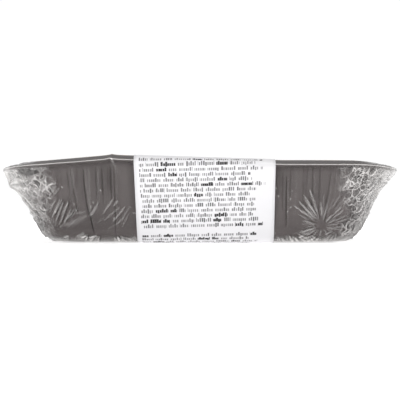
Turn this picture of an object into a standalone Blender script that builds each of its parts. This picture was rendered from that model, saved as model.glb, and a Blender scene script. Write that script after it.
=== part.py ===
"""A wrapped ready meal: a baked pasta block in a dark foil tray, shut in clear shrink film
and banded by a white label that runs over the top, down the front and under the base.
Metres, +Z up, the label's printed face towards -Y. The origin is under the middle of the
pack, on the surface that it rests on."""

import math
import random

import bmesh
import bpy

MM = 0.001

# Driving sizes, measured over the film
PACK_LENGTH = 190 * MM
PACK_WIDTH = 140 * MM
CREST_HEIGHT = 39.4 * MM

# Skins and the free gap that touching pieces keep
FILM_THICKNESS = 0.25 * MM
LABEL_THICKNESS = 0.25 * MM
TRAY_THICKNESS = 0.7 * MM
GAP = 0.3 * MM
SKIN = FILM_THICKNESS + GAP + TRAY_THICKNESS / 2  # from the film's face to the foil's middle
BAND = GAP + LABEL_THICKNESS  # from the film's face to the label's face

# The rim: a crest where the wall turns over, a flange that slopes down, a turned lip
CREST_INSET = 6.3 * MM
FLANGE_DROP = 1.6 * MM
LIP_DEPTH = 1.1 * MM
FLANGE_RADIUS = 32 * MM
CREST_RADIUS = 27 * MM

# The foot: a flat base with a round edge
BASE_INSET = 27.5 * MM
BASE_RADIUS = 13 * MM
FOOT_RADIUS = 11.9 * MM
FOOT_CORNER = 20 * MM
FILM_LEAVES_FOOT = 58  # degrees round the foot where the film takes off to the lip
WALL_LEAVES_FOOT = 70

# How the shrunk film has bent the rim: a kink in the front, both ends drawn down
KINK_X = -41.3 * MM
KINK_RISE = 2.8 * MM
KINK_LEFT = 31 * MM
KINK_RIGHT = 80 * MM
END_DROOP = 2.0 * MM
DROOP_START = 70 * MM
FILM_SAG = 1.0 * MM
BRIDGE_SAG = 0.8 * MM

# Crumples of the film round both ends
CRUMPLE_START = 56 * MM
CRUMPLE_DEPTH = 1.1 * MM
CRUMPLE_SEED = 11
VENT = 1.6 * MM

# The label band, which is stuck on slightly askew
LABEL_LEFT = -30.9 * MM
LABEL_RIGHT = 35.2 * MM
LABEL_LEAN = 0.025  # sideways for each unit down the front, at the left edge
LABEL_BACK = 50 * MM
LABEL_UNDER_END = 22 * MM

# The food: a block with a humped, baked top
FOOD_CLEARANCE = 0.7 * MM
FOOD_TOP = 27 * MM
FOOD_SHOULDER = 2.4 * MM
FOOD_HUMP = 1.1 * MM
FOOD_SEED = 5

# Columns of the lofts
LONG_STEPS = 18
SHORT_STEPS = 8
CORNER_STEPS = 6
LABEL_STEPS = 8

HALF_LENGTH = PACK_LENGTH / 2
HALF_WIDTH = PACK_WIDTH / 2
BASE_Z = BAND  # the film's underside, above the label
FOOT_CENTRE_Z = BASE_Z + FOOT_RADIUS
CREST_HALF_LENGTH = HALF_LENGTH - CREST_INSET
CREST_HALF_WIDTH = HALF_WIDTH - CREST_INSET


def plan_ring(inset, radius):
    """The points of a rounded rectangle, inset from the pack's outline, anticlockwise
    from the left end of its front side."""
    return rounded_rectangle(HALF_LENGTH - inset, HALF_WIDTH - inset, radius)


def rounded_rectangle(half_x, half_y, radius):
    """Four straight sides, each followed by the corner arc at its end."""
    straight_x = half_x - radius
    straight_y = half_y - radius
    corners = [(1, -1), (1, 1), (-1, 1), (-1, -1)]
    points = []
    for turn, (side_x, side_y) in enumerate(corners):
        steps = (LONG_STEPS, SHORT_STEPS)[turn % 2]
        before = corners[turn - 1]
        heading = math.radians(90 * turn - 90)
        offset_x = radius * math.cos(heading)
        offset_y = radius * math.sin(heading)
        for step in range(steps):
            share = step / steps
            centre_x = straight_x * (before[0] * (1 - share) + side_x * share)
            centre_y = straight_y * (before[1] * (1 - share) + side_y * share)
            points.append((centre_x + offset_x, centre_y + offset_y))
        for step in range(CORNER_STEPS):
            angle = heading + math.radians(90 * step / CORNER_STEPS)
            x = side_x * straight_x + radius * math.cos(angle)
            y = side_y * straight_y + radius * math.sin(angle)
            points.append((x, y))
    return points


def crest_height(x, y):
    """Height of the film where it lies on the crest: level, raised to a kink towards the
    front, and drawn down at both ends."""
    reach = KINK_LEFT if x < KINK_X else KINK_RIGHT
    tent = max(0.0, 1 - abs(x - KINK_X) / reach)
    frontness = ((HALF_WIDTH - y) / PACK_WIDTH) ** 2
    endness = max(0.0, (abs(x) - DROOP_START) / (CREST_HALF_LENGTH - DROOP_START))
    return CREST_HEIGHT + KINK_RISE * tent * frontness - END_DROOP * endness**2


def film_top_height(x, y):
    """The film over the tray's mouth: the crest's height, sagging a little in the middle."""
    across = max(0.0, 1 - (y / CREST_HALF_WIDTH) ** 2)
    along = max(0.0, 1 - (x / CREST_HALF_LENGTH) ** 2)
    return crest_height(x, y) - FILM_SAG * across * along


def level_ring(inset, radius, z):
    return [(x, y, z) for x, y in plan_ring(inset, radius)]


def crest_ring(inset, depth):
    """The ring on the crest, each point that depth below the film's height there."""
    plan = plan_ring(CREST_INSET, CREST_RADIUS)
    heights = [crest_height(x, y) for x, y in plan]
    moved = plan_ring(inset, CREST_RADIUS)
    return [(x, y, z - depth) for (x, y), z in zip(moved, heights)]


def rim_ring(inset, depth):
    """A ring on the flange or lip: the crest's height at each column, less a depth."""
    heights = [z for _, _, z in crest_ring(CREST_INSET, 0.0)]
    moved = plan_ring(inset, FLANGE_RADIUS)
    return [(x, y, z - depth) for (x, y), z in zip(moved, heights)]


def foot_ring(arc_radius, degrees):
    """A ring round the base's edge, on an arc about the foot's centre."""
    angle = math.radians(degrees)
    inset = BASE_INSET - arc_radius * math.sin(angle)
    share = degrees / WALL_LEAVES_FOOT
    corner = BASE_RADIUS + (FOOT_CORNER - BASE_RADIUS) * share
    return level_ring(inset, corner, FOOT_CENTRE_Z - arc_radius * math.cos(angle))


def mixed_ring(first, second, share):
    """The ring that lies this share of the way from the first to the second."""
    return [
        tuple(a + (b - a) * share for a, b in zip(start, end))
        for start, end in zip(first, second)
    ]


def clear_scene():
    for obj in list(bpy.data.objects):
        bpy.data.objects.remove(obj, do_unlink=True)


def new_collection(name):
    collection = bpy.data.collections.new(name)
    bpy.context.scene.collection.children.link(collection)
    return collection


def make_material(name, colour, roughness, metallic=0.0, alpha=1.0):
    material = bpy.data.materials.new(name)
    material.use_nodes = True
    shader = material.node_tree.nodes["Principled BSDF"]
    shader.inputs["Base Color"].default_value = (*colour, 1.0)
    shader.inputs["Roughness"].default_value = roughness
    shader.inputs["Metallic"].default_value = metallic
    shader.inputs["Alpha"].default_value = alpha
    return material


def add_object(name, mesh_builder, collection, material):
    """Turns a bmesh into an object of the collection, with its own material."""
    mesh = bpy.data.meshes.new(name)
    mesh_builder.to_mesh(mesh)
    mesh_builder.free()
    mesh.materials.append(material)
    mesh.shade_smooth()
    mesh.set_sharp_from_angle(angle=math.radians(35))
    obj = bpy.data.objects.new(name, mesh)
    collection.objects.link(obj)
    return obj


def loft_rings(rings, first_pole=None, last_pole=None):
    """A skin through rings of equal length, from the top's middle outwards and down. A
    pole closes an end with a fan."""
    builder = bmesh.new()
    rows = [[builder.verts.new(point) for point in ring] for ring in rings]
    columns = len(rings[0])
    for upper, lower in zip(rows, rows[1:]):
        for column in range(columns):
            beside = (column + 1) % columns
            builder.faces.new(
                (upper[column], lower[column], lower[beside], upper[beside])
            )
    if first_pole:
        pole = builder.verts.new(first_pole)
        for column in range(columns):
            builder.faces.new((pole, rows[0][column], rows[0][(column + 1) % columns]))
    if last_pole:
        pole = builder.verts.new(last_pole)
        for column in range(columns):
            builder.faces.new((pole, rows[-1][(column + 1) % columns], rows[-1][column]))
    return builder


def thicken(obj, thickness, offset):
    """A wall on the skin: offset -1 lies behind its face, +1 in front, 0 astride."""
    solidify = obj.modifiers.new("wall", "SOLIDIFY")
    solidify.thickness = thickness
    solidify.offset = offset
    solidify.use_even_offset = True


def make_tray(collection, material):
    """The foil tray, from the middle of its base out to the turned lip."""
    arc_radius = FOOT_RADIUS - SKIN
    foot = [foot_ring(arc_radius, degrees) for degrees in (0, 24, 47, WALL_LEAVES_FOOT)]
    crest_inside = crest_ring(CREST_INSET + 1.3 * MM, SKIN + 0.8 * MM)
    crest = crest_ring(CREST_INSET + 0.1 * MM, SKIN)
    flange = rim_ring(1.3 * MM, FLANGE_DROP + SKIN)
    lip = rim_ring(SKIN, FLANGE_DROP + SKIN + LIP_DEPTH)
    wall = mixed_ring(foot[-1], crest_inside, 0.5)
    rings = [*foot, wall, crest_inside, crest, flange, lip]
    builder = loft_rings(rings[::-1], last_pole=(0, 0, foot[0][0][2]))
    tray = add_object("tray", builder, collection, material)
    thicken(tray, TRAY_THICKNESS, 0.0)


def scaled_top_ring(share):
    """A ring of the film over the tray's mouth, drawn in towards the middle."""
    plan = plan_ring(CREST_INSET, CREST_RADIUS)
    return [
        (x * share, y * share, film_top_height(x * share, y * share)) for x, y in plan
    ]


def crumpled(ring, chance, sag):
    """A ring of the film between lip and foot: drawn in a little all round, and pushed
    out unevenly where the film is gathered round the ends."""
    moved = []
    for x, y, z in ring:
        endness = min(1.0, max(0.0, (abs(x) - CRUMPLE_START) / (20 * MM)))
        push = CRUMPLE_DEPTH * endness * chance.random() - sag
        reach = math.hypot(x, y)
        moved.append((x + x / reach * push, y + y / reach * push, z))
    return moved


def make_film(collection, material):
    """The shrink film: taut over the mouth, round the lip, straight to the foot and under
    the base, down to a small vent that the label covers."""
    chance = random.Random(CRUMPLE_SEED)
    mouth = [scaled_top_ring(share) for share in (0.25, 0.5, 0.72, 0.9)]
    crest = crest_ring(CREST_INSET, 0.0)
    edge = rim_ring(0.3 * MM, FLANGE_DROP)
    lip_top = rim_ring(0.0, FLANGE_DROP + 0.5 * MM)
    lip_bottom = rim_ring(0.0, FLANGE_DROP + 0.5 * MM + LIP_DEPTH)
    foot = [foot_ring(FOOT_RADIUS, degrees) for degrees in (FILM_LEAVES_FOOT, 40, 20, 0)]
    bridge = []
    for share in (0.14, 0.3, 0.46, 0.62, 0.8):
        sag = BRIDGE_SAG * 4 * share * (1 - share)
        plain = mixed_ring(lip_bottom, foot[0], share)
        bridge.append(crumpled(plain, chance, sag))
    vent = [(x, y, BASE_Z) for x, y in rounded_rectangle(VENT, VENT, 0.8 * VENT)]
    rings = [*mouth, crest, edge, lip_top, lip_bottom, *bridge, *foot, vent]
    pole = (0, 0, film_top_height(0, 0))
    film = add_object("film", loft_rings(rings, pole), collection, material)
    thicken(film, FILM_THICKNESS, -1.0)


def film_section(x):
    """The film's face in the plane of one x under the label, as (y, z) points from the
    back of the top, over the front lip and under the base."""
    top = [LABEL_BACK - (LABEL_BACK + CREST_HALF_WIDTH) * step / 7 for step in range(8)]
    points = [(y, film_top_height(x, y)) for y in top]
    crest = crest_height(x, -CREST_HALF_WIDTH)
    edge = crest - FLANGE_DROP
    lip_top = (-HALF_WIDTH, edge - 0.5 * MM)
    lip_bottom = (-HALF_WIDTH, edge - 0.5 * MM - LIP_DEPTH)
    points += [(0.3 * MM - HALF_WIDTH, edge), lip_top, lip_bottom]
    foot = []
    for degrees in (FILM_LEAVES_FOOT, 40, 20, 0):
        angle = math.radians(degrees)
        y = BASE_INSET - HALF_WIDTH - FOOT_RADIUS * math.sin(angle)
        foot.append((y, FOOT_CENTRE_Z - FOOT_RADIUS * math.cos(angle)))
    points += [
        (
            lip_bottom[0] + (foot[0][0] - lip_bottom[0]) * share,
            lip_bottom[1] + (foot[0][1] - lip_bottom[1]) * share,
        )
        for share in (0.3, 0.62)
    ]
    return [*points, *foot, (-10 * MM, BASE_Z), (LABEL_UNDER_END, BASE_Z)]


def offset_section(points, distance):
    """The polyline moved off its face by a distance, mitred at its corners. The points
    run forward over the top, so the free side is on their right."""
    normals = []
    for (y0, z0), (y1, z1) in zip(points, points[1:]):
        length = math.hypot(y1 - y0, z1 - z0)
        normals.append(((z1 - z0) / length, -(y1 - y0) / length))
    moved = []
    for index, (y, z) in enumerate(points):
        before = normals[max(index - 1, 0)]
        after = normals[min(index, len(normals) - 1)]
        sum_y = before[0] + after[0]
        sum_z = before[1] + after[1]
        scale = 2 / (sum_y**2 + sum_z**2)
        moved.append((y + sum_y * scale * distance, z + sum_z * scale * distance))
    return moved


def make_label(collection, material):
    """The paper band, on the film's face from one x to the other. Its front narrows a
    little towards the foot."""
    builder = bmesh.new()
    rows = []
    for step in range(LABEL_STEPS + 1):
        share = step / LABEL_STEPS
        x = LABEL_LEFT + (LABEL_RIGHT - LABEL_LEFT) * share
        lean = LABEL_LEAN * (1 - share)
        row = []
        run = -(LABEL_BACK + CREST_HALF_WIDTH)
        before = None
        for y, z in offset_section(film_section(x), GAP):
            run += math.dist(before, (y, z)) if before else 0.0
            before = (y, z)
            row.append(builder.verts.new((x + lean * max(run, 0.0), y, z)))
        rows.append(row)
    for left, right in zip(rows, rows[1:]):
        for index in range(len(left) - 1):
            builder.faces.new(
                (left[index], left[index + 1], right[index + 1], right[index])
            )
    label = add_object("label", builder, collection, material)
    thicken(label, LABEL_THICKNESS, 1.0)


def make_food(collection, material):
    """The pasta block: it fills the tray's foot and lower wall, with a shoulder round a
    humped top."""
    chance = random.Random(FOOD_SEED)
    arc_radius = FOOT_RADIUS - SKIN - FOOD_CLEARANCE
    foot = [foot_ring(arc_radius, degrees) for degrees in (0, 24, 47, WALL_LEAVES_FOOT)]
    crest = crest_ring(CREST_INSET + 1.3 * MM + FOOD_CLEARANCE, SKIN)
    side = []
    for low, high in zip(foot[-1], crest):
        share = (FOOD_TOP - FOOD_SHOULDER - low[2]) / (high[2] - low[2])
        side.append(tuple(a + (b - a) * share for a, b in zip(low, high)))
    rim_half_x = max(x for x, _, _ in side)
    rim_half_y = max(y for _, y, _ in side)
    top = []
    for scale in (0.975, 0.9, 0.78, 0.62, 0.42, 0.2):
        ring = []
        for x, y, _ in side:
            hump = FOOD_HUMP * chance.uniform(-1, 1) * min(1.0, (1 - scale) * 8)
            ring.append((x * scale, y * scale, FOOD_TOP + hump))
        top.append(ring)
    top[0] = [
        (x * (1 - 1.2 * MM / rim_half_x), y * (1 - 1.2 * MM / rim_half_y), z)
        for x, y, z in top[0]
    ]
    rings = [*top[::-1], side, *foot[::-1]]
    poles = (0, 0, FOOD_TOP), (0, 0, foot[0][0][2])
    add_object("pasta_bake", loft_rings(rings, *poles), collection, material)


def main():
    clear_scene()
    collection = new_collection("foil_tray_meal")
    make_tray(collection, make_material("dark_foil", (0.075, 0.067, 0.063), 0.5, 0.2))
    make_film(collection, make_material("clear_film", (0.85, 0.85, 0.85), 0.1, 0.0, 0.3))
    make_label(collection, make_material("label_paper", (0.88, 0.88, 0.90), 0.45))
    make_food(collection, make_material("baked_pasta", (0.72, 0.42, 0.18), 0.55))


main()
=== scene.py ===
"""The looks of a wrapped ready meal: a baked pasta block in a dark lacquered foil tray, shut in
clear shrink film that is crumpled at both ends, with a white paper label band. Sizes are in
millimetres, and each mesh is turned to metres when it is made."""

import math
from functools import partial

import bpy
import numpy as np
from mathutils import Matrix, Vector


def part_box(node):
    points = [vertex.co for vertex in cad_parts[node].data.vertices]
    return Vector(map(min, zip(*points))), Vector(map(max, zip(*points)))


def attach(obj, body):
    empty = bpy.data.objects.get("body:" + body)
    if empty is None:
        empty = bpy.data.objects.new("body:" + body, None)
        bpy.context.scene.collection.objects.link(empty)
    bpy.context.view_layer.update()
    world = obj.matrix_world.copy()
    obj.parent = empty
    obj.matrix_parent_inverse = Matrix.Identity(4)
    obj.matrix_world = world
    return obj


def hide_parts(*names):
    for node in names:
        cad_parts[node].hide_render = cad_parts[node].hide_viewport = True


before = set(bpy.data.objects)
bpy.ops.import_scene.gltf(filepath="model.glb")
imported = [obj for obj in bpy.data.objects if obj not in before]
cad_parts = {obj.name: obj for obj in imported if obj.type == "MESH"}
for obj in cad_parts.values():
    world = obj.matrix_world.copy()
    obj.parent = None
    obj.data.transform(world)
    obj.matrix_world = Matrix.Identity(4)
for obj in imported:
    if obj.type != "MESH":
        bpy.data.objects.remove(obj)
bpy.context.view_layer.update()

MM = 0.001

# The frame's own sizes: the film is the pack's outline
HALF_LENGTH, HALF_WIDTH, _ = (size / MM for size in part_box("film")[1])

# Skins, as far from each other as the solids are
FILM_TO_FOIL = 0.9
FOIL = 0.3
LABEL_LIFT = 0.32
LABEL_PAPER = 0.2
BASE_Z = 0.55

# The rim: a crest where the wall turns over, a flange that slopes down, a rolled lip
CREST_HEIGHT = 39.4
CREST_INSET = 6.3
FLANGE_DROP = 1.6
LIP_ROUND = 0.5
LIP_DEPTH = 1.1
ROLL_RADIUS = 0.45
FLANGE_RADIUS = 32.0
CREST_RADIUS = 27.0

# The foot: a flat base with a round edge
BASE_INSET = 27.5
BASE_RADIUS = 13.0
FOOT_RADIUS = 11.9
FOOT_CORNER = 20.0
FOOT_CENTRE_Z = BASE_Z + FOOT_RADIUS
FILM_LEAVES_FOOT = 58.0
WALL_LEAVES_FOOT = 70.0

# How the shrunk film has bent the rim
KINK_X = -41.3
KINK_RISE = 2.8
KINK_PEAK = 0.45
KINK_LEFT = 31.0
KINK_RIGHT = 80.0
END_DROOP = 2.0
DROOP_START = 70.0
FILM_SAG = 1.0
BRIDGE_SAG = 0.8
CREST_HALF_LENGTH = HALF_LENGTH - CREST_INSET
CREST_HALF_WIDTH = HALF_WIDTH - CREST_INSET

CORNERS = ((1, -1), (1, 1), (-1, 1), (-1, -1))


# Curves, and repeatable chance

def dice(cell_x, cell_y, cell_z, seed):
    """A draw from 0 to 1 for each whole-numbered cell: its numbers are multiplied by large
    primes, added, and mixed by shifts and products."""
    words = [np.asarray(c).astype(np.int64).astype(np.uint32) for c in (cell_x, cell_y, cell_z)]
    mixed = words[0] * np.uint32(374761393) + words[1] * np.uint32(668265263)
    mixed = mixed + words[2] * np.uint32(2147483629) + np.uint32(seed * 40503 + 977)
    for shift, factor in ((15, 2246822519), (13, 3266489917)):
        mixed = (mixed ^ (mixed >> np.uint32(shift))) * np.uint32(factor)
    mixed = mixed ^ (mixed >> np.uint32(16))
    return mixed.astype(np.float64) / 2.0**32


def ease(low, high, value):
    """0 below low and 1 above high, with the cubic 3t^2 - 2t^3 between them."""
    share = np.clip((value - low) / (high - low), 0.0, 1.0)
    return share * share * (3.0 - 2.0 * share)


def bell(value, middle, width):
    """A bell curve: e to the minus square of how many widths a value is from the middle."""
    return np.exp(-(((value - middle) / width) ** 2))


def cloud(points, size, seed):
    """Soft noise from -1 to 1: draws at the corners of cubes of this size, blended across
    each cube by the cubic ease."""
    scaled = points / size
    whole = np.floor(scaled)
    share = scaled - whole
    share = share * share * (3.0 - 2.0 * share)
    total = 0.0
    for corner in range(8):
        step = np.array([corner & 1, corner >> 1 & 1, corner >> 2 & 1])
        weight = np.prod(np.where(step, share, 1.0 - share), axis=-1)
        total = total + weight * dice(*np.moveaxis(whole + step, -1, 0), seed)
    return total * 2.0 - 1.0


def facets(points, size, seed):
    """Cells round scattered points, one in each cube of this size. It gives how much further
    the second nearest point is than the nearest, a draw for the cell, a draw for the edge
    between the two cells, and the height of a plane that tilts at random in each cell."""
    scaled = points / size
    whole = np.floor(scaled)
    nearest = np.full(points.shape[:-1], 9.0)
    second, draw, other, tilt = (nearest.copy() for _ in range(4))
    for index in range(27):
        step = np.array([index % 3 - 1, index // 3 % 3 - 1, index // 9 - 1])
        cell = np.moveaxis(whole + step, -1, 0)
        spot = np.stack([dice(*cell, seed + turn) for turn in (1, 2, 3)], axis=-1)
        lean = np.stack([dice(*cell, seed + turn) for turn in (4, 5, 6)], axis=-1) - 0.5
        chance = dice(*cell, seed + 7)
        offset = scaled - whole - step - spot
        distance = np.linalg.norm(offset, axis=-1)
        closer = distance < nearest
        next_best = ~closer & (distance < second)
        other = np.where(closer, draw, np.where(next_best, chance, other))
        second = np.where(closer, nearest, np.minimum(second, distance))
        draw = np.where(closer, chance, draw)
        tilt = np.where(closer, np.sum(offset * lean, axis=-1), tilt)
        nearest = np.minimum(nearest, distance)
    return (second - nearest) * size, draw, np.mod(draw + other, 1.0), tilt * size


# Meshes

def skin(name, points, material, closed=True, poles=(None, None), marks=None, uv=None):
    """A mesh of a grid of points, rows by columns. Rows run from the top outwards and down,
    columns anticlockwise, closed round the pack. A pole closes an end with a fan."""
    rows, columns, _ = points.shape
    spots = [points.reshape(-1, 3)]
    index = np.arange(rows * columns).reshape(rows, columns)
    beside = np.roll(index, -1, axis=1)
    if not closed:
        index, beside = index[:, :-1], beside[:, :-1]
    quads = np.stack([index[:-1], index[1:], beside[1:], beside[:-1]], axis=-1).reshape(-1, 4)
    faces = quads.tolist()
    count = rows * columns
    for pole, row, turn in zip(poles, (0, -1), (1, -1)):
        if pole is not None:
            spots.append(np.array([pole], dtype=float))
            fan = np.stack([np.full(columns, count), index[row], beside[row]], axis=-1)
            faces += (fan if turn == 1 else fan[:, [0, 2, 1]]).tolist()
            count += 1
    mesh = bpy.data.meshes.new(name)
    mesh.from_pydata((np.concatenate(spots) * MM).tolist(), [], faces)
    mesh.materials.append(material)
    mesh.shade_smooth()
    for mark, values in (marks or {}).items():
        spread = np.zeros(count, dtype=np.float32)
        spread[: rows * columns] = values.ravel()
        spread[rows * columns :] = values.ravel()[0]
        mesh.attributes.new(mark, "FLOAT", "POINT").data.foreach_set("value", spread)
    if uv is not None:
        corners = np.empty(len(mesh.loops), dtype=np.int32)
        mesh.loops.foreach_get("vertex_index", corners)
        layer = mesh.uv_layers.new(name="paper")
        layer.data.foreach_set("uv", uv.reshape(-1, 2)[corners].astype(np.float32).ravel())
    mesh.update()
    obj = bpy.data.objects.new(name, mesh)
    bpy.context.scene.collection.objects.link(obj)
    return obj


def facing(points, closed=True):
    """The outward unit normals of a grid of points: the cross product of its steps down the
    rows and along the columns."""
    down = np.gradient(points, axis=0)
    if closed:
        along = np.roll(points, -1, axis=1) - np.roll(points, 1, axis=1)
    else:
        along = np.gradient(points, axis=1)
    normal = np.cross(down, along)
    return normal / np.maximum(np.linalg.norm(normal, axis=-1, keepdims=True), 1e-9)


# The pack's form

def columns_round(long_shares, short_shares, arc_shares):
    """The columns of a rounded rectangle: on each straight side the corner centre moves from
    one corner to the next by its share, and on each corner the heading turns 90 degrees."""
    runs = []
    for turn, (side_x, side_y) in enumerate(CORNERS):
        before_x, before_y = CORNERS[turn - 1]
        shares = (long_shares, short_shares)[turn % 2]
        heading = math.radians(90 * turn - 90)
        flat = np.full_like(shares, heading)
        move_x = before_x + (side_x - before_x) * shares
        move_y = before_y + (side_y - before_y) * shares
        runs.append(np.stack([move_x, move_y, flat]))
        still = np.ones_like(arc_shares)
        swing = heading + math.radians(90) * arc_shares
        runs.append(np.stack([still * side_x, still * side_y, swing]))
    return np.concatenate(runs, axis=1)


def plan(columns, inset, radius):
    """The x and y of each column on rounded rectangles with these insets and radii: the
    corner centre plus the radius along the heading."""
    centre_x, centre_y, heading = columns
    x = centre_x * (HALF_LENGTH - inset - radius) + radius * np.cos(heading)
    y = centre_y * (HALF_WIDTH - inset - radius) + radius * np.sin(heading)
    return x, y


def crest_height(x, y):
    """The film's height on the crest: level, plus a tent-shaped rise at the kink with a small
    pinched peak, both fading with the square of the way to the back, less a square droop
    towards both ends."""
    reach = np.where(x < KINK_X, KINK_LEFT, KINK_RIGHT)
    tent = np.maximum(0.0, 1.0 - np.abs(x - KINK_X) / reach)
    frontness = ((HALF_WIDTH - y) / (2 * HALF_WIDTH)) ** 2
    endness = np.maximum(0.0, (np.abs(x) - DROOP_START) / (CREST_HALF_LENGTH - DROOP_START))
    peak = KINK_PEAK * np.exp(-np.abs(x - KINK_X) / 1.6)
    return CREST_HEIGHT + (KINK_RISE * tent + peak) * frontness - END_DROOP * endness**2


def mouth_height(x, y):
    """The film over the mouth: the crest's height less a sag of one parabola by another."""
    across = np.maximum(0.0, 1.0 - (y / CREST_HALF_WIDTH) ** 2)
    along = np.maximum(0.0, 1.0 - (x / CREST_HALF_LENGTH) ** 2)
    return crest_height(x, y) - FILM_SAG * across * along


def lofted(columns, rows):
    """The grid whose rows each have an inset, a corner radius, a share of the crest's height
    at their column and a height of their own."""
    inset, radius, lift, height = (np.array(column)[:, None] for column in zip(*rows))
    x, y = plan(columns, inset, radius)
    crest = crest_height(*plan(columns, CREST_INSET, CREST_RADIUS))
    return np.stack([x, y, lift * crest + height], axis=-1)


def foot_row(arc_radius, degrees):
    """A row on the round foot: an arc of this radius about the foot's centre."""
    angle = math.radians(degrees)
    corner = BASE_RADIUS + (FOOT_CORNER - BASE_RADIUS) * degrees / WALL_LEAVES_FOOT
    inset = BASE_INSET - arc_radius * math.sin(angle)
    return inset, corner, 0.0, FOOT_CENTRE_Z - arc_radius * math.cos(angle)


def between(first, second, shares):
    """Rows that lie these shares of the way from the first row to the second."""
    first, second = np.array(first), np.array(second)
    return [tuple(first + (second - first) * share) for share in shares]


def spaced(stops, steps):
    """Shares from 0 up to, but without, 1, with its own spacing in each stretch between two
    stops."""
    runs = []
    for low, high, step in zip(stops, stops[1:], steps):
        runs.append(np.linspace(low, high, max(1, round((high - low) / step)), endpoint=False))
    return np.concatenate(runs)


def even(count):
    """Even shares from 0 up to, but without, 1."""
    return np.arange(count) / count


# Materials

def linear(code):
    """The linear colour of an sRGB hex code: each channel above 0.04045 is raised to 2.4
    after an offset of 0.055, and a darker one is divided by 12.92."""
    channels = [int(code[place : place + 2], 16) / 255 for place in (1, 3, 5)]
    turned = [c / 12.92 if c <= 0.04045 else ((c + 0.055) / 1.055) ** 2.4 for c in channels]
    return (*turned, 1.0)


def per_metre(size):
    """The scale of a pattern whose cells are this many millimetres wide."""
    return 1 / (size * MM)


def add_node(tree, kind, inputs=(), **settings):
    """Adds a node of this kind with its settings. Its inputs come by name or in order: a
    socket is linked, a node is linked by its first output in use, and a value is set."""
    node = tree.nodes.new("ShaderNode" + kind)
    for name, value in settings.items():
        setattr(node, name, value)
    for name, value in inputs.items() if isinstance(inputs, dict) else enumerate(inputs):
        if isinstance(value, bpy.types.Node):
            value = next(output for output in value.outputs if output.enabled)
        if isinstance(value, bpy.types.NodeSocket):
            tree.links.new(value, node.inputs[name])
        else:
            node.inputs[name].default_value = value
    return node


def cleared(owner):
    """Clears the nodes of a material or a world, and gives what adds a node there."""
    owner.use_nodes = True
    owner.node_tree.nodes.clear()
    return partial(add_node, owner.node_tree)


def new_material(name):
    """A new material, and what adds a node to it."""
    material = bpy.data.materials.new(name)
    return material, cleared(material)


def lacquered_foil():
    """Aluminium foil, pressed to a tray and coated with a dark baking lacquer. The lacquer
    hides the metal: a satin grey brown with broad soft lights. The foil's rolled grain is
    drawn several times coarser than it is, so that it shows."""
    material, add = new_material("dark lacquered foil")
    place = add("TexCoord").outputs["Object"]
    patches = add("TexNoise", {"Vector": place, "Scale": per_metre(14.3), "Detail": 4.0})
    grain = add("TexNoise", {"Vector": place, "Scale": per_metre(0.625), "Detail": 2.0})
    tone = add("Mix", {0: patches, 6: linear("#6c6665"), 7: linear("#76706f")}, data_type="RGBA")
    bump = add("Bump", {"Strength": 0.06, "Distance": 0.05 * MM, "Height": grain})
    gloss = add("MapRange", (patches, 0.0, 1.0, 0.42, 0.56))
    lacquer = add("BsdfPrincipled", {"Base Color": tone, "Roughness": gloss,
                                     "Specular IOR Level": 0.2, "Normal": bump})
    add("OutputMaterial", [lacquer])
    return material


def baked_pasta():
    """Baked pasta sheets under cream sauce: pale sauce, browned where it stood up to the
    heat, with red meat sauce and oil towards the walls. Moist, so it keeps soft lights."""
    material, add = new_material("baked cream sauce")
    place = add("TexCoord").outputs["Object"]
    brown, meat = (add("Attribute", attribute_name=name).outputs["Fac"]
                   for name in ("browning", "meat_sauce"))
    blisters = add("TexNoise", {"Vector": place, "Scale": per_metre(2.63), "Detail": 6.0,
                                "Roughness": 0.65})
    ladled = add("TexNoise", {"Vector": place, "Scale": per_metre(16.7), "Detail": 3.0})
    tone = add("Mix", {0: ladled, 6: linear("#ecd9ab"), 7: linear("#dcb877")}, data_type="RGBA")
    toasted = add("Math", (brown, blisters), operation="MULTIPLY")
    crust = add("ValToRGB", [toasted])
    stops = crust.color_ramp.elements
    stops[0].color = linear("#dcb877")
    stops[1].color = linear("#4a2614")
    for share, code in ((0.30, "#c98d45"), (0.62, "#7a431f")):
        stops.new(share).color = linear(code)
    crusted = add("MapRange", (toasted, 0.08, 0.30))
    tone = add("Mix", {0: crusted, 6: tone, 7: crust}, data_type="RGBA")
    tone = add("Mix", {0: meat, 6: tone, 7: linear("#96451f")}, data_type="RGBA")
    bump = add("Bump", {"Strength": 0.6, "Distance": 0.6 * MM, "Height": blisters})
    sauce = add("BsdfPrincipled", {
        "Base Color": tone, "Roughness": 0.38, "Subsurface Weight": 0.08,
        "Subsurface Radius": (4 * MM, 2 * MM, 1 * MM), "Subsurface Scale": 1.0, "Normal": bump})
    add("OutputMaterial", [sauce])
    return material


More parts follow.
